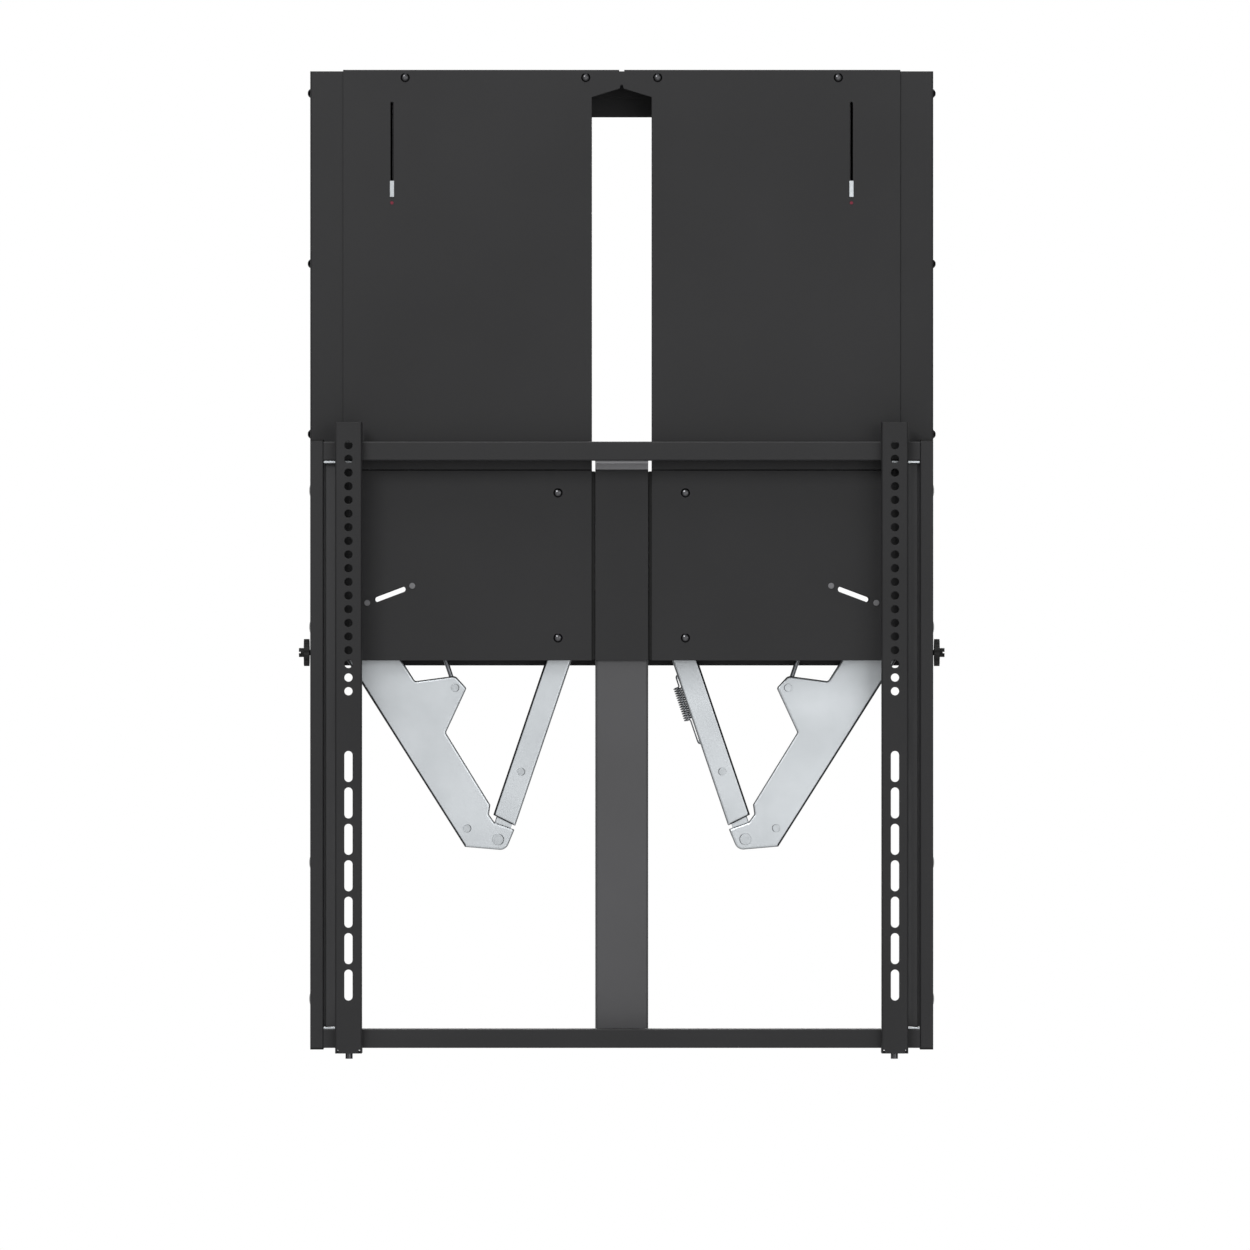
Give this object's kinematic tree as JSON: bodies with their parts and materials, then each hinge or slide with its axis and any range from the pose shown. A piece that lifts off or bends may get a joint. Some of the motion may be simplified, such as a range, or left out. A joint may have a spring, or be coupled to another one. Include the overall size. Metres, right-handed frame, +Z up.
{
  "type": "height-adjustable tv wall mount",
  "caption": "Spring-balanced wall box with knee linkages that lift a frame and two sliding display brackets up and down the wall.",
  "frame": {"origin": "centre of the four wall bolts, on the wall face of the back plate", "axes": "+Z up along the lift, +Y into the wall, -Y towards the room, +X to the right seen from the room"},
  "size_m": [0.7104, 0.118, 1.0888],
  "materials": {
    "box_paint": "fine-grained charcoal powder coat, matte",
    "frame_coat": "charcoal powder coat on drawn profiles",
    "column_coat": "paler grey coated steel tube, satin",
    "black_screws": "black oxide screws",
    "black_nylon": "moulded black nylon",
    "bright_pins": "turned bright steel",
    "zinc_sheet": "zinc plated steel sheet",
    "spring_steel": "drawn spring wire",
    "red_mark": "red moulded pin"
  },
  "bodies": {
    "wall_unit": {"back_plate": "box_paint", "side_wall_left": "box_paint", "side_wall_right": "box_paint", "top_rail": "box_paint", "front_cover": "box_paint", "lower_panel_left": "box_paint", "lower_panel_right": "box_paint", "column_guides": "black_nylon", "cover_screws": "black_screws", "side_screws": "black_screws", "panel_screws": "black_screws", "lock_slot_rivets": "box_paint", "indicator_marks": "red_mark", "crank_shafts": "bright_pins", "guide_shoes": "black_nylon", "spindle_bearings": "zinc_sheet"},
    "lift_frame": {"side_profile_left": "frame_coat", "side_profile_right": "frame_coat", "frame_end_caps": "black_nylon", "crossbar_top": "frame_coat", "crossbar_bottom": "frame_coat", "slide_rail_left": "frame_coat", "slide_rail_right": "frame_coat", "rail_screws": "black_screws", "rail_end_plates": "zinc_sheet", "column": "column_coat", "carriage_plate": "box_paint", "column_head_bracket": "column_coat", "column_foot_block": "frame_coat", "rod_hanger": "zinc_sheet"},
    "crank_arm_left": {"crank_left": "zinc_sheet", "crank_pins_left": "bright_pins"},
    "rod_arm_left": {"connecting_rod_left": "zinc_sheet", "rod_pins_left": "bright_pins"},
    "pull_link_left": {"pull_rod_left": "spring_steel", "pull_rod_pin_left": "bright_pins"},
    "spring_yoke_left": {"lower_yoke_left": "zinc_sheet"},
    "tension_nut_left": {"tension_yoke_left": "bright_pins", "balance_springs_left": "spring_steel"},
    "tension_screw_left": {"spindle_left": "black_screws"},
    "bracket_left": {"display_bracket_left": "box_paint"},
    "clamp_screw_left": {"lock_screw_left": "black_screws"},
    "side_knob_left": {"lock_knob_left": "black_nylon"},
    "crank_arm_right": {"crank_right": "zinc_sheet", "crank_pins_right": "bright_pins"},
    "rod_arm_right": {"connecting_rod_right": "zinc_sheet", "rod_pins_right": "bright_pins", "latch_spring": "spring_steel", "latch_posts": "bright_pins"},
    "pull_link_right": {"pull_rod_right": "spring_steel", "pull_rod_pin_right": "bright_pins"},
    "spring_yoke_right": {"lower_yoke_right": "zinc_sheet"},
    "tension_nut_right": {"tension_yoke_right": "bright_pins", "balance_springs_right": "spring_steel"},
    "tension_screw_right": {"spindle_right": "black_screws"},
    "bracket_right": {"display_bracket_right": "box_paint"},
    "clamp_screw_right": {"lock_screw_right": "black_screws"},
    "side_knob_right": {"lock_knob_right": "black_nylon"}
  },
  "joints": [
    {"name": "frame_lift", "type": "slide", "parent": "wall_unit", "child": "lift_frame", "axis": [0, 0, 1], "range_m": [0, 0.4]},
    {"name": "crank_turn_left", "type": "hinge", "parent": "wall_unit", "child": "crank_arm_left", "pos_m": [-0.307, -0.04, -0.2682], "axis": [0, -1, 0], "range_deg": [0, 81.2]},
    {"name": "elbow_turn_left", "type": "hinge", "parent": "crank_arm_left", "child": "rod_arm_left", "pos_m": [-0.1369, -0.04, -0.5195], "axis": [0, -1, 0], "range_deg": [-64.8, 0]},
    {"name": "lobe_turn_left", "type": "hinge", "parent": "crank_arm_left", "child": "pull_link_left", "pos_m": [-0.1843, -0.04, -0.352], "axis": [0, -1, 0], "range_deg": [-87, 0]},
    {"name": "yoke_rise_left", "type": "slide", "parent": "wall_unit", "child": "spring_yoke_left", "axis": [0, 0, 1], "range_m": [0, 0.1981], "deforming": ["balance_springs_left"]},
    {"name": "tension_turn_left", "type": "hinge", "parent": "wall_unit", "child": "tension_screw_left", "pos_m": [-0.2531, -0.0336, 0.2], "axis": [0, 0, 1], "range_deg": [0, 5105]},
    {"name": "tension_rise_left", "type": "slide", "parent": "wall_unit", "child": "tension_nut_left", "axis": [0, 0, 1], "range_m": [0, 0.085]},
    {"name": "bracket_slide_left", "type": "slide", "parent": "lift_frame", "child": "bracket_left", "axis": [1, 0, 0], "range_m": [-0.012, 0.2]},
    {"name": "clamp_screw_turn_left", "type": "hinge", "parent": "bracket_left", "child": "clamp_screw_left", "pos_m": [-0.3, -0.09, -0.755], "axis": [0, 0, 1], "range_deg": [0, 360]},
    {"name": "side_knob_turn_left", "type": "hinge", "parent": "lift_frame", "child": "side_knob_left", "pos_m": [-0.34, -0.087, -0.3129], "axis": [-1, 0, 0], "range_deg": [0, 720]},
    {"name": "crank_turn_right", "type": "hinge", "parent": "wall_unit", "child": "crank_arm_right", "pos_m": [0.307, -0.04, -0.2682], "axis": [0, 1, 0], "range_deg": [0, 81.2]},
    {"name": "elbow_turn_right", "type": "hinge", "parent": "crank_arm_right", "child": "rod_arm_right", "pos_m": [0.1369, -0.04, -0.5195], "axis": [0, 1, 0], "range_deg": [-64.8, 0]},
    {"name": "lobe_turn_right", "type": "hinge", "parent": "crank_arm_right", "child": "pull_link_right", "pos_m": [0.1843, -0.04, -0.352], "axis": [0, 1, 0], "range_deg": [-87, 0]},
    {"name": "yoke_rise_right", "type": "slide", "parent": "wall_unit", "child": "spring_yoke_right", "axis": [0, 0, 1], "range_m": [0, 0.1981], "deforming": ["balance_springs_right"]},
    {"name": "tension_turn_right", "type": "hinge", "parent": "wall_unit", "child": "tension_screw_right", "pos_m": [0.2531, -0.0156, 0.2], "axis": [0, 0, 1], "range_deg": [0, 5105]},
    {"name": "tension_rise_right", "type": "slide", "parent": "wall_unit", "child": "tension_nut_right", "axis": [0, 0, 1], "range_m": [0, 0.085]},
    {"name": "bracket_slide_right", "type": "slide", "parent": "lift_frame", "child": "bracket_right", "axis": [-1, 0, 0], "range_m": [-0.012, 0.2]},
    {"name": "clamp_screw_turn_right", "type": "hinge", "parent": "bracket_right", "child": "clamp_screw_right", "pos_m": [0.3, -0.09, -0.755], "axis": [0, 0, 1], "range_deg": [0, 360]},
    {"name": "side_knob_turn_right", "type": "hinge", "parent": "lift_frame", "child": "side_knob_right", "pos_m": [0.34, -0.087, -0.3129], "axis": [1, 0, 0], "range_deg": [0, 720]}
  ],
  "couplings": [
    {"joint": "crank_turn_left", "follows": "frame_lift", "rad_per_m": 3.5396},
    {"joint": "elbow_turn_left", "follows": "frame_lift", "rad_per_m": -2.8241},
    {"joint": "lobe_turn_left", "follows": "frame_lift", "rad_per_m": -3.7906},
    {"joint": "yoke_rise_left", "follows": "frame_lift", "ratio": 0.49489},
    {"joint": "tension_turn_left", "follows": "tension_rise_left", "rad_per_m": 1047.2},
    {"joint": "crank_turn_right", "follows": "frame_lift", "rad_per_m": 3.5396},
    {"joint": "elbow_turn_right", "follows": "frame_lift", "rad_per_m": -2.8241},
    {"joint": "lobe_turn_right", "follows": "frame_lift", "rad_per_m": -3.7906},
    {"joint": "yoke_rise_right", "follows": "frame_lift", "ratio": 0.49489},
    {"joint": "tension_turn_right", "follows": "tension_rise_right", "rad_per_m": 1047.2}
  ]
}
